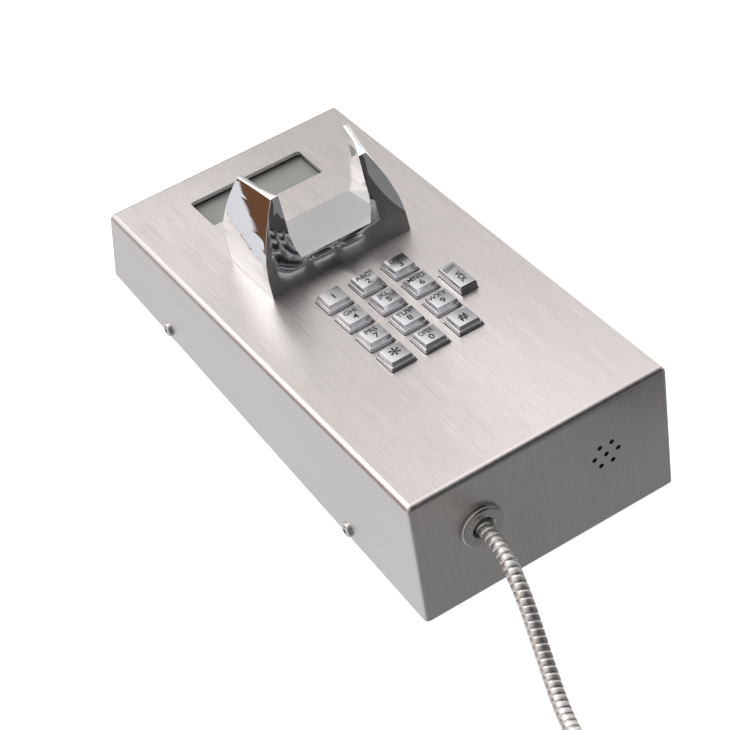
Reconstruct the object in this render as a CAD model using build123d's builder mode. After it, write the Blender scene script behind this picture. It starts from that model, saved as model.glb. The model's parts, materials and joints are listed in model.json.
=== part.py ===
from build123d import *
import math
import os

os.makedirs("parts", exist_ok=True)

# ---------------------------------------------------------------- driving dimensions, millimetres
width = 130.0  # across the housing, X
end_y = -143.0  # foot of the square bottom end, on the back plane
end_rise_y = -141.8  # the bottom end leans in this far where it meets the face
end_height = 69.0  # height of the face at the bottom end
top_y = 143.0  # foot of the sloping top end, on the back plane
top_face_y = 128.4  # where the face meets the top end
top_height = 47.3  # height of the face at the top end
sheet = 2.0  # stainless sheet thickness
bend = 3.0  # outside bend radius of the sheet
clear = 0.1  # gap between pieces that only lie together

key_pitch = 17.5
key_size = 12.9
key_hole = 13.5
key_row_top = 135.3  # distance along the face of the 1-2-3 row
key_travel = 1.2
volume_x = 31.9
volume_y = 109.05
volume_size = (8.9, 19.1)

window_y = 238.3  # distance along the face of the display window's centre
window_size = (61.2, 24.2)

cradle_front = 157.1  # distance along the face of the cradle's front plane
cradle_depth = 46.4
cradle_lean = 7.0  # degrees that the front leans back
cradle_half = 37.2
horn_height = 50.5

gland_at = (-33.0, 39.5)
speaker_at = (31.5, 38.8)
cord_d = 7.3

handset_x = 89.0
handset_mouth_y = -392.0
handset_length = 200.0
cap_r = 26.0
cap_height = 14.0
head_top = 34.0
handle_width = 34.0
handle_top = 44.0
handle_under = 24.0
ferrule_z = 22.0

tilt = math.atan2(end_height - top_height, top_face_y - end_rise_y)
face_normal = (0, math.sin(tilt), math.cos(tilt))
FACE = Plane(origin=(0, end_rise_y, end_height), x_dir=(1, 0, 0), z_dir=face_normal)
lean = math.atan2(end_rise_y - end_y, end_height)
END = Plane(origin=(0, end_y, 0), x_dir=(1, 0, 0), z_dir=(0, -math.cos(lean), math.sin(lean)))
inner_half = width / 2 - sheet


def save(name, piece):
    """Label a finished piece and write it as its own STEP file."""
    piece.label = name
    export_step(piece, "parts/" + name + ".step")


# ---------------------------------------------------------------- housing
key_xs = [-key_pitch, 0.0, key_pitch]
key_ys = [key_row_top - key_pitch * row for row in range(4)]
key_centres = [(x, y) for y in key_ys for x in key_xs]
stud_centres = [(-25.0, 180.0), (25.0, 180.0)]
screw_ys = [-82.0, 82.0]
screw_z = 5.5

with BuildPart() as housing:
    with BuildSketch(Plane.YZ):
        with BuildLine():
            Polyline(
                (end_y, 0),
                (end_rise_y, end_height),
                (top_face_y, top_height),
                (top_y, 0),
                close=True,
            )
        make_face()
    extrude(amount=width / 2, both=True)
    fillet(housing.faces().sort_by(Axis.Z)[-1].edges(), radius=bend)
    upright = housing.edges().filter_by(lambda e: e.length > 20 and abs(e.center().X) > 60)
    upright = upright.filter_by(lambda e: abs(e.tangent_at(0.5).Z) > 0.9)
    fillet(upright, radius=2.2)
    with BuildSketch(Plane.YZ):
        with BuildLine():
            Polyline(
                (end_y, 0),
                (end_rise_y, end_height),
                (top_face_y, top_height),
                (top_y, 0),
                close=True,
            )
        make_face()
        offset(amount=-sheet, kind=Kind.INTERSECTION, mode=Mode.REPLACE)
    extrude(amount=inner_half, both=True, mode=Mode.SUBTRACT)
    with BuildSketch(Plane.XY.offset(-1)):
        with Locations((0, -0.4)):
            Rectangle(2 * inner_half, 281.2)
    extrude(amount=3.2, mode=Mode.SUBTRACT)
    with BuildSketch(FACE.offset(1)):
        with Locations(*key_centres):
            Rectangle(key_hole, key_hole)
        with Locations((volume_x, volume_y)):
            Rectangle(volume_size[0] + 0.6, volume_size[1] + 0.6)
        with Locations((0, window_y)):
            RectangleRounded(window_size[0], window_size[1], 1.5)
        with Locations(*stud_centres):
            Circle(2.7)
        with Locations((0, 180)):
            Circle(4)
    extrude(amount=-6, mode=Mode.SUBTRACT)
    with BuildSketch(END.offset(1)):
        with Locations(gland_at):
            Circle(7)
        with Locations(speaker_at):
            Circle(1.25)
            with PolarLocations(6.15, 6):
                Circle(1.25)
    extrude(amount=-6, mode=Mode.SUBTRACT)
    with BuildSketch(Plane.YZ.offset(-width)):
        with Locations((screw_ys[0], screw_z), (screw_ys[1], screw_z)):
            Circle(2.2)
    extrude(amount=2 * width, mode=Mode.SUBTRACT)
save("housing_shell", housing.part)

# ---------------------------------------------------------------- back plate
plate_half = inner_half - clear
flange_in = plate_half - 2.0
board_holes = [(-44.0, -50.0), (44.0, -50.0), (-44.0, 78.0), (44.0, 78.0)]
standoff_top = 12.0

with BuildPart() as back:
    with BuildSketch():
        with Locations((0, -0.4)):
            Rectangle(2 * plate_half, 281.0)
    extrude(amount=2.0)
    with BuildSketch():
        for side in (-1, 1):
            with Locations((side * (plate_half - 1.0), 0)):
                Rectangle(2.0, 240)
    extrude(amount=13.0)
    with BuildSketch(Plane.XY.offset(2.0)):
        with Locations(*board_holes):
            Circle(3.5)
    extrude(amount=standoff_top - 2.0)
    with BuildSketch(Plane.XY.offset(-1)):
        with GridLocations(80, 180, 2, 2):
            Circle(2.75)
        with Locations((0, 0)):
            Circle(12)
        with Locations(*board_holes):
            Circle(1.5)
    extrude(amount=20, mode=Mode.SUBTRACT)
    with BuildSketch(Plane.YZ.offset(-width)):
        with Locations((screw_ys[0], screw_z), (screw_ys[1], screw_z)):
            Circle(2.05)
    extrude(amount=2 * width, mode=Mode.SUBTRACT)
save("back_plate", back.part)

# ---------------------------------------------------------------- security screws and clinch nuts in the side flanges
number = 0
for side in (-1, 1):
    for y in screw_ys:
        number += 1
        outside = Plane(origin=(side * width / 2, y, screw_z), z_dir=(side, 0, 0))
        with BuildPart() as screw:
            with BuildSketch(outside):
                Circle(3.6)
            extrude(amount=2.1)
            fillet(screw.edges().group_by(Axis.X)[-1 if side > 0 else 0], radius=1.5)
            with BuildSketch(outside):
                Circle(2.0)
            extrude(amount=-9.0)
            with BuildSketch(outside.offset(2.1)):
                RegularPolygon(1.3, 6)
            extrude(amount=-1.3, mode=Mode.SUBTRACT)
        save("side_screw_" + str(number), screw.part)
        with BuildPart() as nut:
            with BuildSketch(outside.offset(flange_in - width / 2)):
                Circle(3.4)
                Circle(2.05, mode=Mode.SUBTRACT)
            extrude(amount=-4.0)
        save("clinch_nut_" + str(number), nut.part)

# ---------------------------------------------------------------- display behind the window
under = -sheet
with BuildPart() as gasket:
    with BuildSketch(FACE.offset(under)):
        with Locations((0, window_y)):
            RectangleRounded(70, 33, 2)
            RectangleRounded(window_size[0], window_size[1], 1.5, mode=Mode.SUBTRACT)
    extrude(amount=-1.0)
save("window_gasket", gasket.part)

with BuildPart() as lens:
    with BuildSketch(FACE.offset(under - 1.0)):
        with Locations((0, window_y)):
            RectangleRounded(70, 33, 2)
    extrude(amount=-1.5)
save("window_lens", lens.part)

with BuildPart() as lcd_bezel:
    with BuildSketch(FACE.offset(under - 2.5)):
        with Locations((0, window_y)):
            Rectangle(74, 35)
            Rectangle(66.4, 30.4, mode=Mode.SUBTRACT)
    extrude(amount=-3.0)
save("lcd_bezel", lcd_bezel.part)

with BuildPart() as lcd:
    with BuildSketch(FACE.offset(under - 2.8)):
        with Locations((0, window_y)):
            Rectangle(66, 30)
    extrude(amount=-2.6)
save("lcd_glass", lcd.part)

with BuildPart() as lcd_board:
    with BuildSketch(FACE.offset(under - 5.5)):
        with Locations((0, window_y)):
            Rectangle(80, 35)
            with GridLocations(75, 30, 2, 2):
                Circle(1.3, mode=Mode.SUBTRACT)
    extrude(amount=-1.6)
save("lcd_board", lcd_board.part)

# ---------------------------------------------------------------- chrome cradle
front_out = [(37.2, -0.3), (37.0, 9.5), (35.9, 18), (34.5, 23), (32.7, 29), (30.8, 34), (27.9, 41), (23.2, 51)]
rear_out = [(37.2, 5.4), (37.1, 15.5), (36.6, 24), (36.2, 29), (35.8, 35), (35.4, 40), (35.2, 48), (36.6, 57)]
inner_walls = [
    (0.0, [(18.3, 13.0), (20.4, 20), (21.1, 27), (21.0, 38), (21.05, 48), (21.1, 64)]),
    (4.0, [(24.0, 12.5), (25.3, 20), (25.0, 28), (24.0, 39), (22.7, 49), (22.7, 65)]),
    (10.0, [(28.4, 11.7), (29.6, 20), (28.6, 29), (26.8, 40), (24.8, 50), (24.6, 66)]),
    (47.0, [(31.5, 6.2), (33.2, 12), (33.4, 24), (32.8, 42), (31.3, 54), (31.0, 70)]),
]
horn_side = [
    (cradle_front - 1, 45.7),
    (184.8, 49.6),
    (193.0, 34.0),
    (199.6, 18.0),
    (203.5, 4.0),
    (203.5, 0),
    (cradle_front - 1, 0),
]
base_line = FACE.from_local_coords((0, cradle_front, 0))
lean_back = math.radians(cradle_lean)
front_normal = FACE.z_dir * math.sin(lean_back) - FACE.y_dir * math.cos(lean_back)
FRONT = Plane(origin=base_line, x_dir=(1, 0, 0), z_dir=front_normal)


def mirrored(points):
    """A closed outline from its right half, top of each half first."""
    return list(points) + [(-x, h) for x, h in reversed(points)]


with BuildPart() as cradle:
    for plane_at, outline in ((0.0, front_out), (-cradle_depth, rear_out)):
        with BuildSketch(FRONT.offset(plane_at)):
            with BuildLine():
                Polyline(*mirrored(outline), close=True)
            make_face()
    loft(ruled=True)
    for (near, near_outline), (far, far_outline) in zip(inner_walls, inner_walls[1:]):
        for plane_at, outline in ((near, near_outline), (far, far_outline)):
            with BuildSketch(FRONT.offset(-plane_at)):
                with BuildLine():
                    Polyline(*mirrored(outline), close=True)
                make_face()
        loft(ruled=True, mode=Mode.SUBTRACT)
    SIDE = Plane(origin=FACE.origin, x_dir=FACE.y_dir, z_dir=(1, 0, 0))
    with BuildSketch(SIDE):
        with BuildLine():
            Polyline(*horn_side, close=True)
        make_face()
    extrude(amount=60, both=True, mode=Mode.INTERSECT)
    with BuildSketch(FACE):
        with Locations((0, cradle_front + cradle_depth / 2)):
            RectangleRounded(2 * cradle_half + 0.2, cradle_depth, 9)
        with Locations((0, cradle_front + 5)):
            Rectangle(2 * cradle_half + 0.2, 10)
    extrude(amount=60, mode=Mode.INTERSECT)
    with BuildSketch(FACE):
        with Locations(*stud_centres):
            Circle(2.5)
    extrude(amount=-9)
save("cradle", cradle.part)

for index, centre in enumerate(stud_centres):
    with BuildPart() as cradle_nut:
        with BuildSketch(FACE.offset(under)):
            with Locations(centre):
                RegularPolygon(4.6, 6)
                Circle(2.55, mode=Mode.SUBTRACT)
        extrude(amount=-4.0)
    save("cradle_nut_" + str(index + 1), cradle_nut.part)

with BuildPart() as reed:
    with BuildSketch(FACE.offset(under)):
        with Locations((0, 180)):
            Rectangle(30, 14)
            with Locations((-11, 0), (11, 0)):
                Circle(1.2, mode=Mode.SUBTRACT)
    extrude(amount=-1.6)
    with BuildSketch(FACE.offset(under - 1.6)):
        with Locations((0, 180)):
            Rectangle(16, 3)
    extrude(amount=-2.6)
save("hook_switch_board", reed.part)

# ---------------------------------------------------------------- keys
flange_top = under - clear
flange_low = flange_top - 1.4
stem_low = flange_low - 1.2
key_names = ["1", "2", "3", "4", "5", "6", "7", "8", "9", "star", "0", "hash"]

for name, centre in zip(key_names, key_centres):
    with BuildPart() as key:
        with BuildSketch(FACE.offset(flange_low)):
            with Locations(centre):
                Rectangle(15.5, 15.5)
        extrude(amount=flange_top - flange_low)
        with BuildSketch(FACE.offset(flange_low)):
            with Locations(centre):
                Rectangle(6, 6)
        extrude(amount=stem_low - flange_low)
        with BuildSketch(FACE.offset(flange_top)):
            with Locations(centre):
                RectangleRounded(key_size, key_size, 0.5)
        extrude(amount=0.3 - flange_top)
        with BuildSketch(FACE.offset(0.3)):
            with Locations(centre):
                RectangleRounded(key_size, key_size, 0.5)
        extrude(amount=1.6, taper=14)
        with BuildSketch(FACE.offset(1.9)):
            with Locations(centre):
                RectangleRounded(11.2, 11.2, 0.5)
        extrude(amount=2.0, taper=16)
    save("key_" + name, key.part)

with BuildPart() as volume_key:
    with BuildSketch(FACE.offset(flange_low)):
        with Locations((volume_x, volume_y)):
            Rectangle(11.4, 21.6)
    extrude(amount=flange_top - flange_low)
    with BuildSketch(FACE.offset(flange_low)):
        with Locations((volume_x, volume_y)):
            Rectangle(5, 10)
    extrude(amount=stem_low - flange_low)
    with BuildSketch(FACE.offset(flange_top)):
        with Locations((volume_x, volume_y)):
            RectangleRounded(volume_size[0], volume_size[1], 0.5)
    extrude(amount=3.3 - flange_top)
    with BuildSketch(FACE.offset(3.3)):
        with Locations((volume_x, volume_y)):
            RectangleRounded(volume_size[0], volume_size[1], 0.5)
    extrude(amount=0.9, taper=32)
save("volume_key", volume_key.part)

# ---------------------------------------------------------------- keypad module under the face
module_at = (5.5, volume_y)
module_size = (76.0, 78.0)
frame_low = under - 4.2
with BuildPart() as keypad_frame:
    with BuildSketch(FACE.offset(under)):
        with Locations(module_at):
            Rectangle(*module_size)
        with Locations(*key_centres):
            Rectangle(16.3, 16.3, mode=Mode.SUBTRACT)
        with Locations((volume_x, volume_y)):
            Rectangle(12.0, 22.3, mode=Mode.SUBTRACT)
    extrude(amount=frame_low - under)
save("keypad_frame", keypad_frame.part)

with BuildPart() as membrane:
    with BuildSketch(FACE.offset(frame_low)):
        with Locations(module_at):
            Rectangle(*module_size)
    extrude(amount=-1.2)
save("keypad_membrane", membrane.part)

with BuildPart() as keypad_board:
    with BuildSketch(FACE.offset(frame_low - 1.2)):
        with Locations(module_at):
            Rectangle(*module_size)
    extrude(amount=-1.6)
save("keypad_board", keypad_board.part)

# ---------------------------------------------------------------- main board on the back plate
board_low = standoff_top
board_top = board_low + 1.6
with BuildPart() as main_board:
    with BuildSketch(Plane.XY.offset(board_low)):
        with Locations((0, 14)):
            Rectangle(98, 138)
        with Locations(*board_holes):
            Circle(1.6, mode=Mode.SUBTRACT)
    extrude(amount=1.6)
save("main_board", main_board.part)

for index, centre in enumerate(board_holes):
    with BuildPart() as board_screw:
        with BuildSketch(Plane.XY.offset(board_top)):
            with Locations(centre):
                Circle(2.75)
        extrude(amount=2.0)
        with BuildSketch(Plane.XY.offset(board_top)):
            with Locations(centre):
                Circle(1.45)
        extrude(amount=-7.0)
        with BuildSketch(Plane.XY.offset(board_top + 2.0)):
            with Locations(centre):
                Rectangle(3.6, 0.7)
                Rectangle(0.7, 3.6)
        extrude(amount=-1.1, mode=Mode.SUBTRACT)
    save("board_screw_" + str(index + 1), board_screw.part)

with BuildPart() as transformer:
    with BuildSketch(Plane.XY.offset(board_top)):
        with Locations((-26, 52)):
            Rectangle(28, 22)
    extrude(amount=13)
    with BuildSketch(Plane.XY.offset(board_top + 2)):
        with Locations((-26, 52)):
            Rectangle(18, 28)
    extrude(amount=9)
save("line_transformer", transformer.part)

with BuildPart() as terminal:
    with BuildSketch(Plane.XY.offset(board_top)):
        with Locations((14, 72)):
            Rectangle(42, 12)
    extrude(amount=13)
    with BuildSketch(Plane.XY.offset(board_top + 13)):
        with Locations((14, 72)):
            with GridLocations(10, 0, 4, 1):
                Circle(2.4)
    extrude(amount=-5, mode=Mode.SUBTRACT)
save("terminal_block", terminal.part)

with BuildPart() as capacitor:
    with BuildSketch(Plane.XY.offset(board_top)):
        with Locations((28, 36)):
            Circle(8)
    extrude(amount=22)
    fillet(capacitor.edges().group_by(Axis.Z)[-1], radius=1)
save("capacitor", capacitor.part)

# ---------------------------------------------------------------- speaker behind the bottom end
with BuildPart() as speaker_frame:
    with BuildSketch(END.offset(under)):
        with Locations(speaker_at):
            Circle(22)
            Circle(17, mode=Mode.SUBTRACT)
    extrude(amount=-3)
    with BuildSketch(END.offset(under - 3)):
        with Locations(speaker_at):
            Circle(19)
            Circle(9.6, mode=Mode.SUBTRACT)
    extrude(amount=-6)
save("speaker_frame", speaker_frame.part)

with BuildPart() as cone:
    with BuildSketch(END.offset(under - 0.8)):
        with Locations(speaker_at):
            Circle(16.8)
    extrude(amount=-2.0)
save("speaker_cone", cone.part)

with BuildPart() as magnet:
    with BuildSketch(END.offset(under - 9)):
        with Locations(speaker_at):
            Circle(14)
    extrude(amount=-8)
save("speaker_magnet", magnet.part)

# ---------------------------------------------------------------- cord gland in the bottom end
gland_bore = cord_d / 2 + 0.15
with BuildPart() as gland:
    with BuildSketch(END):
        with Locations(gland_at):
            Circle(10.5)
    extrude(amount=3.0)
    fillet(gland.edges().group_by(Axis.Y)[0], radius=1.6)
    with BuildSketch(END):
        with Locations(gland_at):
            Circle(6.8)
    extrude(amount=-13)
    with BuildSketch(END.offset(3.5)):
        with Locations(gland_at):
            Circle(gland_bore)
    extrude(amount=-20, mode=Mode.SUBTRACT)
    with BuildSketch(END.offset(3.0)):
        with Locations(gland_at):
            Circle(5.6)
    extrude(amount=-3.5, taper=28, mode=Mode.SUBTRACT)
save("cord_gland", gland.part)

with BuildPart() as gland_nut:
    with BuildSketch(END.offset(under)):
        with Locations(gland_at):
            RegularPolygon(10.5, 6)
            Circle(6.85, mode=Mode.SUBTRACT)
    extrude(amount=-5)
save("gland_nut", gland_nut.part)

anchor_face = -2.5
with BuildPart() as anchor:
    with BuildSketch(END.offset(anchor_face)):
        with Locations(gland_at):
            Circle(cord_d / 2)
    extrude(amount=-8.0)
    with BuildSketch(END.offset(-13.0)):
        with Locations(gland_at):
            Circle(8)
    extrude(amount=-4)
save("cord_anchor", anchor.part)

# ---------------------------------------------------------------- armoured cord
floor_z = cord_d / 2 + 0.05
coil_centre = (-17.0, -320.0)
coil_r = 37.0
coil_turns = 2

gland_exit = (gland_at[0], gland_at[1], 10.5)
gland_start = (gland_at[0], gland_at[1], anchor_face)
run_points = [
    tuple(END.from_local_coords(gland_start)),
    tuple(END.from_local_coords(gland_exit)),
    (-34.6, -166.0, 36.8),
    (-37.4, -179.2, 29.8),
    (-40.4, -190.5, 20.9),
    (-43.6, -202.0, 12.4),
    (-47.4, -214.5, 6.2),
    (-51.2, -229.0, floor_z),
    (-53.6, -247.0, floor_z),
    (-55.0, -269.0, floor_z),
    (-55.2, -294.0, floor_z),
    (coil_centre[0] - coil_r, coil_centre[1], floor_z),
]
crossing_z = 11.3
lead_points = [
    (3.6, -284.2, crossing_z),
    (-13.3, -277.9, crossing_z),
    (-32.3, -278.1, crossing_z),
    (-49.4, -287.6, crossing_z),
    (-60.6, -304.1, crossing_z),
    (-63.3, -325.7, 11.0),
    (-60.0, -346.5, 9.6),
    (-52.4, -364.6, 7.4),
    (-41.2, -385.0, 5.0),
    (-28.4, -406.2, floor_z),
    (-14.8, -426.6, floor_z),
    (-0.2, -444.6, floor_z),
    (13.8, -459.8, floor_z),
    (31.2, -467.2, 4.0),
    (50.2, -467.5, 5.2),
    (67.9, -460.7, 7.8),
    (81.6, -447.5, 11.8),
    (handset_x, -430.0, 17.0),
    (handset_x, -413.0, 21.5),
    (handset_x, handset_mouth_y - 5.3, ferrule_z),
]


def cord_tube(points):
    """Straight runs joined by the largest tangent arcs that they allow."""
    spots = [Vector(*p) for p in points]
    radii = []
    for before, here, after in zip(spots, spots[1:], spots[2:]):
        turn = math.radians((here - before).get_angle(after - here))
        shorter = min((here - before).length, (after - here).length)
        radii.append(0.45 * shorter / math.tan(turn / 2))
    with BuildPart() as tube:
        with BuildLine() as path:
            FilletPolyline(*spots, radius=radii)
        with BuildSketch(Plane(origin=path.line @ 0, z_dir=path.line % 0)):
            Circle(cord_d / 2)
        sweep()
    return tube.part


save("cord_run", cord_tube(run_points))
save("cord_lead", cord_tube(lead_points))

with BuildPart() as coil:
    with BuildSketch(Plane.XZ):
        with Locations((coil_r, floor_z + cord_d / 2)):
            RectangleRounded(cord_d, coil_turns * cord_d, cord_d / 2 - 0.1)
    revolve(axis=Axis.Z)
coil_part = coil.part.moved(Location((coil_centre[0], coil_centre[1], 0)))
save("cord_coil", coil_part)

# ---------------------------------------------------------------- handset, face down beside the coil
mouth_at = (handset_x, handset_mouth_y + cap_r)
ear_at = (handset_x, handset_mouth_y + handset_length - cap_r)
seat = cap_height + clear
with BuildPart() as grip:
    with BuildSketch(Plane.XY.offset(seat)):
        with Locations(mouth_at, ear_at):
            Circle(cap_r)
    extrude(amount=head_top - seat)
    fillet(grip.edges().group_by(Axis.Z)[-1], radius=7)
    with BuildSketch(Plane.XY.offset(handle_under)):
        with Locations((handset_x, (mouth_at[1] + ear_at[1]) / 2)):
            RectangleRounded(handle_width, handset_length - 2 * cap_r + 24, 10)
    extrude(amount=handle_top - handle_under)
    fillet(grip.edges().group_by(Axis.Z)[-1], radius=8)
    with BuildSketch(Plane.XY.offset(seat)):
        with Locations(mouth_at, ear_at):
            Circle(20)
    extrude(amount=10, mode=Mode.SUBTRACT)
    mouth_end = Plane(origin=(handset_x, handset_mouth_y, ferrule_z), z_dir=(0, -1, 0))
    with BuildSketch(mouth_end.offset(2)):
        Circle(5.6)
    extrude(amount=-7.5, mode=Mode.SUBTRACT)
save("handset_shell", grip.part)

for name, centre in (("mouth_cap", mouth_at), ("ear_cap", ear_at)):
    with BuildPart() as cap:
        with BuildSketch():
            with Locations(centre):
                Circle(cap_r)
        extrude(amount=cap_height)
        fillet(cap.edges().group_by(Axis.Z)[0], radius=3)
        with BuildSketch(Plane.XY.offset(cap_height)):
            with Locations(centre):
                Circle(20)
        extrude(amount=-(cap_height - 3), mode=Mode.SUBTRACT)
        with BuildSketch():
            with Locations(centre):
                Circle(1.2)
                with PolarLocations(6.5, 6):
                    Circle(1.2)
        extrude(amount=5, mode=Mode.SUBTRACT)
    save(name, cap.part)

for name, centre, capsule_r in (("microphone", mouth_at, 12.0), ("receiver", ear_at, 18.0)):
    with BuildPart() as capsule:
        with BuildSketch(Plane.XY.offset(3.2)):
            with Locations(centre):
                Circle(capsule_r)
        extrude(amount=11)
    save(name, capsule.part)

with BuildPart() as hook_magnet:
    with BuildSketch(Plane.XY.offset(14.4)):
        with Locations(ear_at):
            Rectangle(16, 10)
    extrude(amount=5)
save("handset_magnet", hook_magnet.part)

with BuildPart() as ferrule:
    with BuildSketch(mouth_end.offset(-5)):
        Circle(5.5)
    extrude(amount=4.8)
    with BuildSketch(mouth_end.offset(0.0)):
        Circle(7.0)
    extrude(amount=14)
    fillet(ferrule.edges().group_by(Axis.Y)[0], radius=1.5)
    with BuildSketch(mouth_end.offset(5)):
        Circle(cord_d / 2 + 0.35)
    extrude(amount=12, mode=Mode.SUBTRACT)
save("handset_ferrule", ferrule.part)
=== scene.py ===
import json
import math

import bmesh
import bpy
from mathutils import Matrix, Vector


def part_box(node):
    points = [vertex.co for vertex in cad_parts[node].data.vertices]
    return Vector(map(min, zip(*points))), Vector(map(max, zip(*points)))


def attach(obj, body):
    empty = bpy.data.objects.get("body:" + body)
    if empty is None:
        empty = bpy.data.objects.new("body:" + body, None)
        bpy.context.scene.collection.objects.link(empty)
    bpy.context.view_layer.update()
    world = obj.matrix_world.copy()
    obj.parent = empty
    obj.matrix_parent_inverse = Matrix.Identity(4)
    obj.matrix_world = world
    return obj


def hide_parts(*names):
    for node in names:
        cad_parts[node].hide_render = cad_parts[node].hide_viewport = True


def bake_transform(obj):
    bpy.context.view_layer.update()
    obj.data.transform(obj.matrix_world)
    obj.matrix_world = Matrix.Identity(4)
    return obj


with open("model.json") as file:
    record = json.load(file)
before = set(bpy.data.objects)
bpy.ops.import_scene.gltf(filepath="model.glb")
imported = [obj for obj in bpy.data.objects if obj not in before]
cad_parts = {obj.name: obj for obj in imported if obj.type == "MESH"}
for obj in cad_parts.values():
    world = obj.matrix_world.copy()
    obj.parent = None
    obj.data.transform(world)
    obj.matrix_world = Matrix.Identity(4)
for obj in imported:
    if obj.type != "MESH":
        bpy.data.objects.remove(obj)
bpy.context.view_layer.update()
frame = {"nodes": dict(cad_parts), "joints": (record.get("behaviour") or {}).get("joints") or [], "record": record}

MM = 0.001
slot_of = {part["node"]: part["material_slot"] for part in frame["record"]["subparts"]}
members = frame["record"]["behaviour"]["bodies"]
press = next(joint for joint in frame["joints"] if joint["name"] == "key_1_press")
FACE_UP = -Vector(press["axis"]).normalized()
FACE_ALONG = FACE_UP.cross(Vector((1, 0, 0))).normalized()
face_height = max(v.co.dot(FACE_UP) for v in frame["nodes"]["housing_shell"].data.vertices)


def linked(name, data):
    """A new object, put into the scene."""
    made = bpy.data.objects.new(name, data)
    bpy.context.collection.objects.link(made)
    return made


# ---------------------------------------------------------------- camera
CAMERA_PLACE = (-0.34023, -0.69874, 0.74538)
CAMERA_RIGHT = (0.83917694, -0.5303917, -0.12027761)
CAMERA_UP = (0.44458754, 0.54163499, 0.71342376)
LENS_MM = 113.14
SENSOR_MM = 36.0
NEAREST = 0.01


def make_camera():
    """The camera stands off the left of the cord end and looks down over the face."""
    data = bpy.data.cameras.new("camera")
    data.sensor_width = SENSOR_MM
    data.lens = LENS_MM
    data.clip_start = NEAREST
    camera = linked("camera", data)
    right = Vector(CAMERA_RIGHT)
    up = Vector(CAMERA_UP)
    back = right.cross(up)
    turn = Matrix((right, up, back)).transposed().to_4x4()
    camera.matrix_world = Matrix.Translation(CAMERA_PLACE) @ turn
    bpy.context.scene.camera = camera


make_camera()


# ---------------------------------------------------------------- node helpers
class Finish:
    """A material and short ways to add nodes to it."""

    def __init__(self, name, colour, rough, metallic=0.0):
        self.material = bpy.data.materials.new(name)
        self.material.use_nodes = True
        self.tree = self.material.node_tree
        self.shader = self.tree.nodes["Principled BSDF"]
        self.shader.inputs["Base Color"].default_value = (*colour, 1.0)
        self.shader.inputs["Roughness"].default_value = rough
        self.shader.inputs["Metallic"].default_value = metallic

    def node(self, kind, **values):
        made = self.tree.nodes.new(kind)
        for name, value in values.items():
            setattr(made, name, value)
        return made

    def link(self, source, target):
        self.tree.links.new(source, target)

    def math(self, kind, first, second):
        made = self.node("ShaderNodeMath", operation=kind)
        for socket, value in zip(made.inputs, (first, second)):
            if isinstance(value, (int, float)):
                socket.default_value = value
            else:
                self.link(value, socket)
        return made.outputs[0]

    def dot(self, vector, direction):
        made = self.node("ShaderNodeVectorMath", operation="DOT_PRODUCT")
        made.inputs[1].default_value = direction
        self.link(vector, made.inputs[0])
        return made.outputs["Value"]

    def position(self):
        return self.node("ShaderNodeTexCoord").outputs["Object"]

    def noise(self, vector, scale, stretch=(1, 1, 1), detail=3.0, rough=0.55):
        mapping = self.node("ShaderNodeMapping")
        mapping.inputs["Scale"].default_value = [scale * s for s in stretch]
        self.link(vector, mapping.inputs["Vector"])
        made = self.node("ShaderNodeTexNoise")
        made.inputs["Scale"].default_value = 1.0
        made.inputs["Detail"].default_value = detail
        made.inputs["Roughness"].default_value = rough
        self.link(mapping.outputs[0], made.inputs["Vector"])
        return made.outputs["Fac"]

    def remap(self, value, low, high, start=0.3, end=0.7):
        made = self.node("ShaderNodeMapRange")
        made.inputs["From Min"].default_value = start
        made.inputs["From Max"].default_value = end
        made.inputs["To Min"].default_value = low
        made.inputs["To Max"].default_value = high
        self.link(value, made.inputs["Value"])
        return made.outputs[0]

    def ramp(self, value, stops):
        made = self.node("ShaderNodeValToRGB")
        elements = made.color_ramp.elements
        while len(elements) < len(stops):
            elements.new(0.5)
        for element, (place, colour) in zip(elements, stops):
            element.position = place
            element.color = (*colour, 1.0)
        self.link(value, made.inputs[0])
        return made.outputs[0]

    def bump(self, height, strength, distance):
        made = self.node("ShaderNodeBump")
        made.inputs["Strength"].default_value = strength
        made.inputs["Distance"].default_value = distance
        self.link(height, made.inputs["Height"])
        self.link(made.outputs[0], self.shader.inputs["Normal"])


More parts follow.
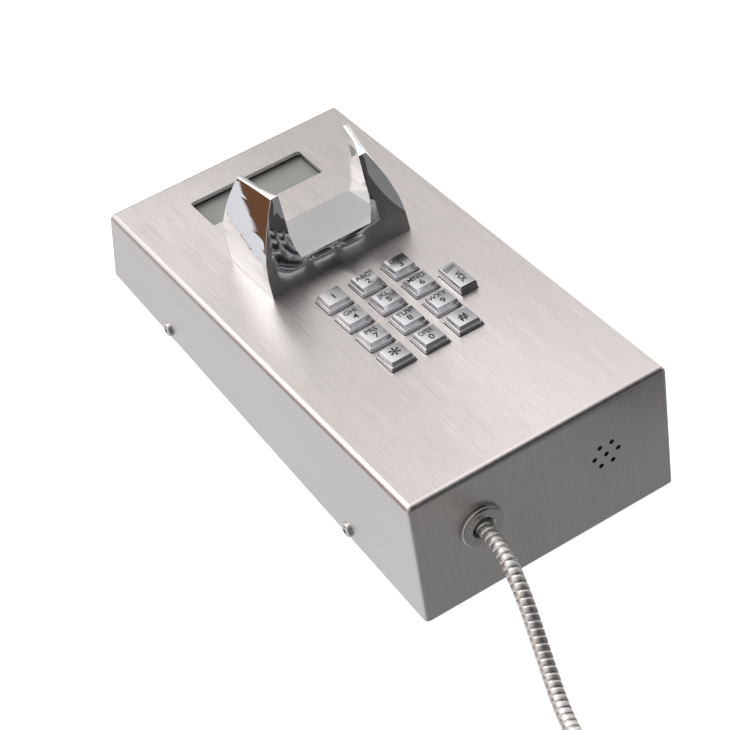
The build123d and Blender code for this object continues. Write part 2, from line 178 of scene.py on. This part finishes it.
def brushed_sheet():
    """Brushed stainless: the grain runs along the folded blank, over the face and down both ends."""
    grain_scale = (2600, 120, 9)
    streak_scale = (900, 30, 9)
    cloud_scale = (22, 9, 9)
    grain_share = 0.55
    side_from = 0.75
    grain_tones = [(0.28, (0.65, 0.62, 0.605)), (0.50, (0.75, 0.715, 0.70)), (0.74, (0.86, 0.825, 0.81))]
    cloud_tones = [(0.25, (0.90, 0.88, 0.87)), (0.75, (1.0, 0.99, 0.98))]
    glossiest, dullest = 0.30, 0.46
    made = Finish("brushed_sheet", (0.74, 0.71, 0.695), 0.34, 1.0)
    split = made.node("ShaderNodeSeparateXYZ")
    made.link(made.position(), split.inputs[0])
    x, y, z = split.outputs
    normal = made.node("ShaderNodeSeparateXYZ")
    made.link(made.node("ShaderNodeNewGeometry").outputs["Normal"], normal.inputs[0])
    on_side = made.math("GREATER_THAN", made.math("ABSOLUTE", normal.outputs[0], 0), side_from)
    off_side = made.math("SUBTRACT", 1.0, on_side)
    across = made.math("ADD", made.math("MULTIPLY", x, off_side), made.math("MULTIPLY", z, on_side))
    along = made.math("ADD", y, made.math("MULTIPLY", z, off_side))
    join = made.node("ShaderNodeCombineXYZ")
    for source, target in zip((across, along, on_side), join.inputs):
        made.link(source, target)
    blank = join.outputs[0]
    grain = made.noise(blank, 1.0, grain_scale, 4.0, 0.75)
    streak = made.noise(blank, 1.0, streak_scale, 3.0, 0.65)
    cloud = made.noise(blank, 1.0, cloud_scale, 2.0, 0.5)
    fine = made.math("MULTIPLY", grain, grain_share)
    mixed = made.math("ADD", fine, made.math("MULTIPLY", streak, 1 - grain_share))
    shade = made.node("ShaderNodeMix", data_type="RGBA", blend_type="MULTIPLY")
    shade.inputs["Factor"].default_value = 0.5
    made.link(made.ramp(mixed, grain_tones), shade.inputs["A"])
    made.link(made.ramp(cloud, cloud_tones), shade.inputs["B"])
    made.link(shade.outputs["Result"], made.shader.inputs["Base Color"])
    made.link(made.remap(mixed, glossiest, dullest), made.shader.inputs["Roughness"])
    made.shader.inputs["Anisotropic"].default_value = 0.45
    made.bump(mixed, 0.22, 0.02 * MM)
    return made.material


def satin_metal(name, colour, rough, scale=900, stretch=(1, 1, 1), strength=0.15, spread=0.08, contrast=1.0):
    """Fine satin metal with small changes of tone and gloss."""
    darker = 0.14 * contrast
    lighter = 0.08 * contrast
    made = Finish(name, colour, rough, 1.0)
    fine = made.noise(made.position(), scale, stretch, 4.0, 0.6)
    dark = [c * (1 - darker) for c in colour]
    light = [min(1.0, c * (1 + lighter)) for c in colour]
    made.link(made.ramp(fine, [(0.3, dark), (0.7, light)]), made.shader.inputs["Base Color"])
    made.link(made.remap(fine, rough - spread, rough + spread), made.shader.inputs["Roughness"])
    made.bump(fine, strength, 0.03 * MM)
    return made.material


def chrome(name):
    """Polished plate with faint ripples, rubbed to a satin where the handset rests in the saddle."""
    saddle_height = 14 * MM
    horn_height = 20 * MM
    flat_from, flat_to = 0.80, 0.90
    rub = 0.34
    made = Finish(name, (0.83, 0.84, 0.85), 0.04, 1.0)
    ripple = made.noise(made.position(), 60, (1, 1, 1), 1.0, 0.4)
    wear = made.noise(made.position(), 420, (1, 1, 1), 3.0, 0.6)
    facing = made.dot(made.node("ShaderNodeNewGeometry").outputs["Normal"], FACE_UP)
    height = made.math("SUBTRACT", made.dot(made.position(), FACE_UP), face_height)
    level = made.remap(facing, 0.0, 1.0, flat_from, flat_to)
    low = made.remap(height, 1.0, 0.0, saddle_height, horn_height)
    rubbed = made.math("MULTIPLY", made.math("MULTIPLY", level, low), rub)
    made.link(made.math("ADD", made.remap(wear, 0.025, 0.075), rubbed), made.shader.inputs["Roughness"])
    made.bump(ripple, 0.06, 0.4 * MM)
    return made.material


def moulded(name, colour, rough, scale=1600, strength=0.12, spread=0.07, coat=0.0):
    """Moulded plastic or rubber with a fine sparked grain."""
    darker = 0.80
    lighter = 1.18
    lift = 0.004
    made = Finish(name, colour, rough)
    fine = made.noise(made.position(), scale, (1, 1, 1), 3.0, 0.6)
    broad = made.noise(made.position(), 35, (1, 1, 1), 2.0, 0.5)
    dark = [c * darker for c in colour]
    light = [min(1.0, c * lighter + lift) for c in colour]
    made.link(made.ramp(broad, [(0.3, dark), (0.7, light)]), made.shader.inputs["Base Color"])
    made.link(made.remap(fine, rough - spread, rough + spread), made.shader.inputs["Roughness"])
    made.shader.inputs["Coat Weight"].default_value = coat
    made.bump(fine, strength, 0.06 * MM)
    return made.material


def clear_window(name):
    """Clear flat window, a little hazy, that shows what lies behind it."""
    made = Finish(name, (0.90, 0.93, 0.90), 0.06)
    made.shader.inputs["Alpha"].default_value = 0.16
    haze = made.noise(made.position(), 300, (1, 1, 1), 2.0, 0.5)
    made.link(made.remap(haze, 0.04, 0.10), made.shader.inputs["Roughness"])
    return made.material


def display_glass(name):
    """Unlit grey-green display, faintly uneven under its polariser."""
    tones = [(0.25, (0.20, 0.205, 0.178)), (0.8, (0.235, 0.238, 0.21))]
    made = Finish(name, (0.235, 0.245, 0.215), 0.28)
    cloud = made.noise(made.position(), 45, (1, 1, 1), 2.0, 0.5)
    made.link(made.ramp(cloud, tones), made.shader.inputs["Base Color"])
    fine = made.noise(made.position(), 2500, (1, 1, 1), 2.0, 0.5)
    made.link(made.remap(fine, 0.22, 0.34), made.shader.inputs["Roughness"])
    return made.material


def circuit_board(name):
    """Green board with brighter tracks under the solder mask."""
    made = Finish(name, (0.03, 0.17, 0.08), 0.35)
    tracks = made.node("ShaderNodeTexBrick")
    tracks.inputs["Scale"].default_value = 160.0
    tracks.inputs["Color1"].default_value = (0.02, 0.14, 0.06, 1)
    tracks.inputs["Color2"].default_value = (0.03, 0.18, 0.08, 1)
    tracks.inputs["Mortar"].default_value = (0.07, 0.30, 0.13, 1)
    made.link(made.position(), tracks.inputs["Vector"])
    made.link(tracks.outputs["Color"], made.shader.inputs["Base Color"])
    made.bump(tracks.outputs["Fac"], 0.2, 0.04 * MM)
    return made.material


def printed_ink(name):
    """Black screen print, slightly worn."""
    tones = [(0.3, (0.006, 0.006, 0.007)), (0.9, (0.02, 0.02, 0.022))]
    made = Finish(name, (0.012, 0.012, 0.014), 0.5)
    wear = made.noise(made.position(), 1500, (1, 1, 1), 3.0, 0.6)
    made.link(made.ramp(wear, tones), made.shader.inputs["Base Color"])
    return made.material


finishes = {
    "brushed_sheet": brushed_sheet(),
    "plate_steel": satin_metal("plate_steel", (0.62, 0.62, 0.61), 0.36, 500, (1, 0.04, 1)),
    "fastener": satin_metal("fastener", (0.66, 0.66, 0.66), 0.26),
    "cradle_chrome": chrome("cradle_chrome"),
    "key_metal": satin_metal(
        "key_metal", (0.66, 0.665, 0.69), 0.24, 2600, strength=0.012, spread=0.03, contrast=0.25
    ),
    "window_clear": clear_window("window_clear"),
    "lcd_face": display_glass("lcd_face"),
    "inner_metal": satin_metal("inner_metal", (0.25, 0.25, 0.26), 0.45),
    "board_green": circuit_board("board_green"),
    "dark_rubber": moulded("dark_rubber", (0.02, 0.02, 0.021), 0.62),
    "inner_plastic": moulded("inner_plastic", (0.03, 0.03, 0.032), 0.48),
    "armour_hose": satin_metal("armour_hose", (0.80, 0.775, 0.75), 0.38, 1500, strength=0.06, spread=0.05),
    "gland_steel": satin_metal("gland_steel", (0.62, 0.605, 0.58), 0.24, 900, (1, 6, 1), spread=0.06),
    "handset_black": moulded("handset_black", (0.016, 0.016, 0.017), 0.30, 1400, coat=0.15),
}
ink = printed_ink("ink")

for node_name, node_object in frame["nodes"].items():
    node_object.data.materials.clear()
    node_object.data.materials.append(finishes[slot_of[node_name]])


# ---------------------------------------------------------------- piece helpers
def new_object(name, mesh, body, slot):
    """A new mesh piece that rides on a body, in the finish of a slot."""
    mesh.materials.append(finishes[slot])
    piece = linked(name, mesh)
    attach(piece, body)
    return piece


def body_with(node):
    """The body that a CAD node belongs to."""
    return next(name for name, nodes in members.items() if node in nodes)


def softened(node, width, segments, angle=28.0):
    """The CAD piece again, with its faces joined up and its edges rolled over."""
    source = bmesh.new()
    source.from_mesh(frame["nodes"][node].data)
    bmesh.ops.remove_doubles(source, verts=source.verts, dist=0.001 * MM)
    bmesh.ops.dissolve_limit(source, angle_limit=math.radians(0.6), verts=source.verts, edges=source.edges)
    mesh = bpy.data.meshes.new(node + "_soft")
    source.to_mesh(mesh)
    source.free()
    for polygon in mesh.polygons:
        polygon.use_smooth = True
    piece = new_object(node + "_soft", mesh, body_with(node), slot_of[node])
    bevel = piece.modifiers.new("edges", "BEVEL")
    bevel.width = width
    bevel.segments = segments
    bevel.limit_method = "ANGLE"
    bevel.angle_limit = math.radians(angle)
    bevel.harden_normals = True
    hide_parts(node)


# ---------------------------------------------------------------- armoured cord
cord_d = 7.3 * MM
FLOOR_GAP = 0.05 * MM
floor_z = cord_d / 2 + FLOOR_GAP
coil_low, coil_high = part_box("cord_coil")
coil_centre = (coil_low + coil_high) / 2
coil_r = (coil_high.x - coil_low.x - cord_d) / 2

RUN = [
    (-33.0, -139.81, 39.45),
    (-33.0, -152.81, 39.68),
    (-34.6, -166.0, 36.8),
    (-37.4, -179.2, 29.8),
    (-40.4, -190.5, 20.9),
    (-43.6, -202.0, 12.4),
    (-47.4, -214.5, 6.2),
    (-51.2, -229.0, 3.7),
    (-53.6, -247.0, 3.7),
    (-55.0, -269.0, 3.7),
    (-55.2, -294.0, 3.7),
]
LEAD = [
    (3.6, -284.2, 11.3),
    (-13.3, -277.9, 11.3),
    (-32.3, -278.1, 11.3),
    (-49.4, -287.6, 11.3),
    (-60.6, -304.1, 11.3),
    (-63.3, -325.7, 11.0),
    (-60.0, -346.5, 9.6),
    (-52.4, -364.6, 7.4),
    (-41.2, -385.0, 5.0),
    (-28.4, -406.2, 3.7),
    (-14.8, -426.6, 3.7),
    (-0.2, -444.6, 3.7),
    (13.8, -459.8, 3.7),
    (31.2, -467.2, 4.0),
    (50.2, -467.5, 5.2),
    (67.9, -460.7, 7.8),
    (81.6, -447.5, 11.8),
    (89.0, -430.0, 17.0),
    (89.0, -413.0, 21.5),
    (89.0, -397.3, 22.0),
]
COIL_START = 180.0
COIL_END = COIL_START + 590.0
COIL_STEP = 24.0
CLIMB_START = 420.0
CLIMB_END = 490.0
TURN_GAP = 0.2 * MM
INSIDE_POINTS = 0.978


def coil_points():
    """About 1.6 turns: part of one on the floor, a climb of one diameter, and the rest lying on it."""
    points = []
    reach = coil_r / INSIDE_POINTS
    angle = COIL_START
    while angle <= COIL_END:
        rise = min(1.0, max(0.0, (angle - CLIMB_START) / (CLIMB_END - CLIMB_START)))
        rise = rise * rise * (3 - 2 * rise)
        turn = math.radians(angle)
        x = coil_centre.x + reach * math.cos(turn)
        y = coil_centre.y + reach * math.sin(turn)
        points.append((x, y, floor_z + rise * (cord_d + TURN_GAP)))
        angle += COIL_STEP
    return points


def cord_route():
    """Points along the cord's own smooth line, from the gland to the handset."""
    run = [tuple(c * MM for c in point) for point in RUN]
    lead = [tuple(c * MM for c in point) for point in LEAD]
    control = run + coil_points() + lead
    curve = bpy.data.curves.new("cord_line", "CURVE")
    curve.dimensions = "3D"
    spline = curve.splines.new("NURBS")
    spline.points.add(len(control) - 1)
    for point, place in zip(spline.points, control):
        point.co = (*place, 1.0)
    spline.order_u = 3
    spline.use_endpoint_u = True
    spline.resolution_u = 16
    line = bpy.data.objects.new("cord_line", curve)
    mesh = bpy.data.meshes.new_from_object(line)
    route = [vertex.co.copy() for vertex in mesh.vertices]
    bpy.data.objects.remove(line)
    bpy.data.curves.remove(curve)
    bpy.data.meshes.remove(mesh)
    return route


def evenly(route, step):
    """The same line with its points an even step apart."""
    total = sum((b - a).length for a, b in zip(route, route[1:]))
    count = round(total / step)
    spaced = total / count
    points = [route[0].copy()]
    walked = 0.0
    wanted = spaced
    for a, b in zip(route, route[1:]):
        length = (b - a).length
        while length > 0 and walked + length >= wanted - 1e-9 and len(points) <= count:
            points.append(a.lerp(b, (wanted - walked) / length))
            wanted += spaced
        walked += length
    return points


def hose(route):
    """Interlocked armour: a strip wound in a helix, each turn a shallow barrel with a groove beside it."""
    pitch = 3.2 * MM
    per_pitch = 10
    around = 20
    barrel = 0.035
    groove_depth = 0.13
    groove_from = 0.80
    groove_width = 0.20
    points = evenly(route, pitch / per_pitch)
    vertices = []
    faces = []
    side = Vector((0, 0, 1))
    for index, here in enumerate(points):
        ahead = points[min(index + 1, len(points) - 1)] - points[max(index - 1, 0)]
        ahead.normalize()
        side = (side - ahead * side.dot(ahead)).normalized()
        other = ahead.cross(side)
        for step in range(around):
            turn = step / around
            phase = (index / per_pitch + turn) % 1.0
            off_crown = abs(phase - 0.5) * 2
            dip = groove_depth * max(0.0, off_crown - groove_from) / groove_width
            radius = cord_d / 2 * (1.0 - barrel * off_crown**2 - dip)
            angle = 2 * math.pi * turn
            vertices.append(here + (side * math.cos(angle) + other * math.sin(angle)) * radius)
    for ring in range(len(points) - 1):
        for step in range(around):
            after = (step + 1) % around
            low = ring * around
            faces.append((low + step, low + after, low + around + after, low + around + step))
    faces.append(tuple(reversed(range(around))))
    last = (len(points) - 1) * around
    faces.append(tuple(range(last, last + around)))
    mesh = bpy.data.meshes.new("armoured_cord")
    mesh.from_pydata([tuple(v) for v in vertices], [], faces)
    mesh.update()
    for polygon in mesh.polygons:
        polygon.use_smooth = len(polygon.vertices) == 4
    return mesh


route = cord_route()
hose_mesh = hose(route)
hose_piece = linked("armoured_cord", hose_mesh)
hose_mesh.materials.append(finishes["armour_hose"])
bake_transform(hose_piece)
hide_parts("cord_run", "cord_coil", "cord_lead")


# ---------------------------------------------------------------- tie round the coil
def cable_tie():
    """A black nylon tie round the two stacked turns, with its square head on top and its tail cut short."""
    width = 3.4 * MM
    thick = 0.9 * MM
    half = cord_d / 2 + 0.35 * MM
    height = coil_high.z + 0.3 * MM
    off_floor = 0.1 * MM
    corners = 40
    squareness = 5
    edge = 0.25 * MM
    middle = Vector((coil_centre.x + coil_r, coil_centre.y, 0))
    build = bmesh.new()

    def block(size, centre):
        """A rectangular block, with its centre given from the foot of the tie's middle."""
        for vertex in bmesh.ops.create_cube(build, size=1.0)["verts"]:
            vertex.co = middle + Vector([c * s + o for c, s, o in zip(vertex.co, size, centre)])

    outline = []
    for corner in range(corners):
        turn = 2 * math.pi * corner / corners
        x = math.cos(turn)
        z = math.sin(turn)
        stretch = 1.0 / (abs(x) ** squareness + abs(z) ** squareness) ** (1 / squareness)
        outline.append((x * stretch, z * stretch))
    rings = []
    for grow, y in ((0, -1), (1, -1), (1, 1), (0, 1)):
        ring = []
        for x, z in outline:
            up = height / 2 + z * (height / 2 - off_floor)
            place = Vector(((half + grow * thick) * x, y * width / 2, up))
            if grow and z > 0:
                place.z += z * thick
            ring.append(build.verts.new(middle + place))
        rings.append(ring)
    for near, far in zip(rings, rings[1:] + rings[:1]):
        for index in range(corners):
            after = (index + 1) % corners
            build.faces.new((near[index], near[after], far[after], far[index]))
    top = height + thick
    block((5.4 * MM, 6.0 * MM, 3.4 * MM), (0, 0, top + 1.4 * MM))
    block((5.0 * MM, 2.6 * MM, 1.0 * MM), (4.6 * MM, 0, top + 1.6 * MM))
    bmesh.ops.recalc_face_normals(build, faces=build.faces)
    mesh = bpy.data.meshes.new("cable_tie")
    build.to_mesh(mesh)
    build.free()
    piece = new_object("cable_tie", mesh, "phone", "inner_plastic")
    bevel = piece.modifiers.new("edges", "BEVEL")
    bevel.width = edge
    bevel.segments = 2
    bevel.limit_method = "ANGLE"


cable_tie()

# ---------------------------------------------------------------- visible metal with rolled edges
CAST_EDGE = 0.5 * MM
KEY_EDGE = 0.22 * MM
GLAND_EDGE = 0.25 * MM
TURNED_EDGE = 0.3 * MM

softened("cradle", CAST_EDGE, 3)
for name in frame["nodes"]:
    if name.startswith("key_") or name == "volume_key":
        softened(name, KEY_EDGE, 2)
softened("cord_gland", GLAND_EDGE, 2)
softened("gland_nut", TURNED_EDGE, 2)
softened("handset_ferrule", TURNED_EDGE, 2)
for name in ("terminal_block", "line_transformer"):
    softened(name, CAST_EDGE, 2)


# ---------------------------------------------------------------- legends
PRINT_DEPTH = 0.03 * MM
PRINT_LIFT = 0.032 * MM
RIGHT = Vector((1, 0, 0))


def top_of(node):
    """Middle of the flat top of a key, on the line along which it is pressed."""
    corners = [v.co for v in frame["nodes"][node].data.vertices]
    height = max(c.dot(FACE_UP) for c in corners)
    top = [c for c in corners if height - c.dot(FACE_UP) < 0.02 * MM]
    low = Vector([min(c[i] for c in top) for i in range(3)])
    high = Vector([max(c[i] for c in top) for i in range(3)])
    return (low + high) / 2


def on_key(name, text, node, across, along, size, squeeze=1.0, turn=0.0, bold=0.0):
    """Printed lettering that lies on a key's top."""
    curve = bpy.data.curves.new(name, "FONT")
    curve.body = text
    curve.size = size
    curve.align_x = "CENTER"
    curve.align_y = "CENTER"
    curve.extrude = PRINT_DEPTH
    curve.offset = bold
    curve.resolution_u = 6
    piece = linked(name, curve)
    piece.data.materials.append(ink)
    face_turn = Matrix((RIGHT, FACE_ALONG, FACE_UP)).transposed().to_4x4()
    place = top_of(node) + RIGHT * across + FACE_ALONG * along + FACE_UP * PRINT_LIFT
    shape = Matrix.Rotation(turn, 4, "Z") @ Matrix.Diagonal((squeeze, 1, 1, 1))
    piece.matrix_world = Matrix.Translation(place) @ face_turn @ shape
    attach(piece, body_with(node))


LEGENDS = {
    "1": "",
    "2": "ABC",
    "3": "DEF",
    "4": "GHI",
    "5": "JKL",
    "6": "MNO",
    "7": "PRS",
    "8": "TUV",
    "9": "WXY",
    "0": "OPER",
}
LETTER_SIZE = 4.1 * MM
LETTER_LEFT = -0.4 * MM
LETTER_UP = 2.5 * MM
THREE_LETTERS_WIDE = 0.95
FOUR_LETTERS_WIDE = 0.72
DIGIT_SIZE = 5.0 * MM
DIGIT_DOWN = -1.9 * MM
LONE_DIGIT_SIZE = 5.2 * MM
LONE_DIGIT_DOWN = -0.3 * MM
STAR_SIZE = 12.0 * MM
STAR_DOWN = -1.6 * MM
HASH_SIZE = 7.0 * MM

for digit, letters in LEGENDS.items():
    key = "key_" + digit
    if letters:
        width = THREE_LETTERS_WIDE if len(letters) == 3 else FOUR_LETTERS_WIDE
        on_key("letters_" + digit, letters, key, LETTER_LEFT, LETTER_UP, LETTER_SIZE, width, bold=0.06 * MM)
        on_key("digit_" + digit, digit, key, 0, DIGIT_DOWN, DIGIT_SIZE, bold=0.07 * MM)
    else:
        on_key("digit_" + digit, digit, key, 0, LONE_DIGIT_DOWN, LONE_DIGIT_SIZE, bold=0.12 * MM)
on_key("sign_star", "*", "key_star", 0, STAR_DOWN, STAR_SIZE, bold=0.12 * MM)
on_key("sign_hash", "#", "key_hash", 0, 0, HASH_SIZE, bold=0.14 * MM)


def volume_bars():
    """Printed strokes that shorten to the right."""
    count = 7
    stroke = 0.42 * MM
    spacing = 0.9 * MM
    longest = 4.0 * MM
    shorter_by = 0.35 * MM
    first_x = -3.2 * MM
    upper_end = 7.4 * MM
    lift = 0.045 * MM
    thick = 0.04 * MM
    mesh = bpy.data.meshes.new("volume_bars")
    build = bmesh.new()
    top = top_of("volume_key") + FACE_UP * lift
    for index in range(count):
        length = longest - shorter_by * index
        start = top + RIGHT * (first_x + spacing * index) + FACE_ALONG * upper_end
        corners = []
        for dx, dy in ((0, 0), (stroke, 0), (stroke, -length), (0, -length)):
            corners.append(build.verts.new(start + RIGHT * dx + FACE_ALONG * dy))
        build.faces.new(reversed(corners))
    build.to_mesh(mesh)
    build.free()
    mesh.materials.append(ink)
    piece = linked("volume_bars", mesh)
    solid = piece.modifiers.new("print", "SOLIDIFY")
    solid.thickness = thick
    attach(piece, body_with("volume_key"))


volume_bars()
on_key("volume_word", "VOL", "volume_key", 0.4 * MM, -2.4 * MM, 4.2 * MM, turn=-math.pi / 2, bold=0.08 * MM)


# ---------------------------------------------------------------- floor and light
def floor():
    """A white floor with a glow of its own that hides shadows, kept out of reflections and bounced light."""
    reach = 4.0
    glow = 0.85
    tones = [(0.2, (0.89, 0.89, 0.89)), (0.8, (0.91, 0.91, 0.91))]
    mesh = bpy.data.meshes.new("floor")
    corners = [(-reach, -reach, 0), (reach, -reach, 0), (reach, reach, 0), (-reach, reach, 0)]
    mesh.from_pydata(corners, [], [(0, 1, 2, 3)])
    plane = linked("floor", mesh)
    white = Finish("floor_white", (0.9, 0.9, 0.9), 0.9)
    fine = white.noise(white.position(), 40, (1, 1, 1), 2.0, 0.5)
    white.link(white.ramp(fine, tones), white.shader.inputs["Base Color"])
    white.shader.inputs["Emission Color"].default_value = (1, 1, 1, 1)
    white.shader.inputs["Emission Strength"].default_value = glow
    mesh.materials.append(white.material)
    plane.visible_glossy = False
    plane.visible_diffuse = False


def area_light(name, place, size, power):
    """A white rectangular light that faces the origin."""
    data = bpy.data.lights.new(name, "AREA")
    data.shape = "RECTANGLE"
    data.size, data.size_y = size
    data.energy = power
    light = linked(name, data)
    turn = Vector(place).to_track_quat("Z", "Y").to_matrix().to_4x4()
    light.matrix_world = Matrix.Translation(place) @ turn


class Surround:
    """The studio around the object, as light that depends on the direction it comes from."""

    def __init__(self):
        world = bpy.data.worlds.new("studio")
        bpy.context.scene.world = world
        world.use_nodes = True
        self.tree = world.node_tree
        self.background = self.tree.nodes["Background"]
        self.direction = self.tree.nodes.new("ShaderNodeTexCoord").outputs["Generated"]
        self.colour = None

    def toward(self, direction, start, end):
        """0 to 1 as the direction turns from the cosine start to the cosine end of the given one."""
        dot = self.tree.nodes.new("ShaderNodeVectorMath")
        dot.operation = "DOT_PRODUCT"
        dot.inputs[1].default_value = Vector(direction).normalized()
        self.tree.links.new(self.direction, dot.inputs[0])
        made = self.tree.nodes.new("ShaderNodeMapRange")
        made.interpolation_type = "SMOOTHSTEP"
        made.inputs["From Min"].default_value = start
        made.inputs["From Max"].default_value = end
        self.tree.links.new(dot.outputs["Value"], made.inputs["Value"])
        return made.outputs[0]

    def base(self, dark, bright, direction, start, end):
        """Dark on one side, and bright on the side that the direction points to."""
        mix = self.mixed(direction, start, end)
        mix.inputs["A"].default_value = (*dark, 1)
        mix.inputs["B"].default_value = (*bright, 1)
        self.colour = mix.outputs["Result"]

    def patch(self, colour, direction, start, end):
        """Lays a soft round patch of another colour over what is there."""
        mix = self.mixed(direction, start, end)
        self.tree.links.new(self.colour, mix.inputs["A"])
        mix.inputs["B"].default_value = (*colour, 1)
        self.colour = mix.outputs["Result"]

    def mixed(self, direction, start, end):
        """A mix that goes from A to B as the direction is neared."""
        mix = self.tree.nodes.new("ShaderNodeMix")
        mix.data_type = "RGBA"
        self.tree.links.new(self.toward(direction, start, end), mix.inputs["Factor"])
        return mix

    def done(self, strength):
        self.tree.links.new(self.colour, self.background.inputs[0])
        self.background.inputs[1].default_value = strength


DIM = (0.20, 0.20, 0.205)
BRIGHT = (1.25, 1.225, 1.215)
NEAR_BLACK = (0.012, 0.013, 0.014)
MID_GREY = (0.25, 0.255, 0.255)
PALE_BLUE = (0.78, 0.79, 0.82)
WARM_GREY = (0.50, 0.49, 0.485)
BROWN = (0.16, 0.075, 0.04)

floor()
surround = Surround()
surround.base(DIM, BRIGHT, (-0.15, 0.95, 0.1), -0.42, 0.5)
# a dark patch high beyond the cord end
surround.patch(NEAR_BLACK, (0.31, -0.66, 0.68), 0.80, 0.92)
# light from below: dull at the cord end, pale on the left of the display end
surround.patch(MID_GREY, (0.31, -0.55, -0.78), 0.55, 0.92)
surround.patch(PALE_BLUE, (-0.45, 0.45, -0.77), 0.5, 0.95)
# a dulled stretch low beyond the display end, and a small brown spot level with the object on its left
surround.patch(WARM_GREY, (0.30, 0.93, 0.22), 0.80, 0.97)
surround.patch(BROWN, (-0.82, 0.57, 0.03), 0.925, 0.94)
surround.done(1.0)
area_light("key_light", (-0.5, 1.0, 1.7), size=(1.5, 1.0), power=9)
bpy.context.scene.view_settings.view_transform = "Standard"
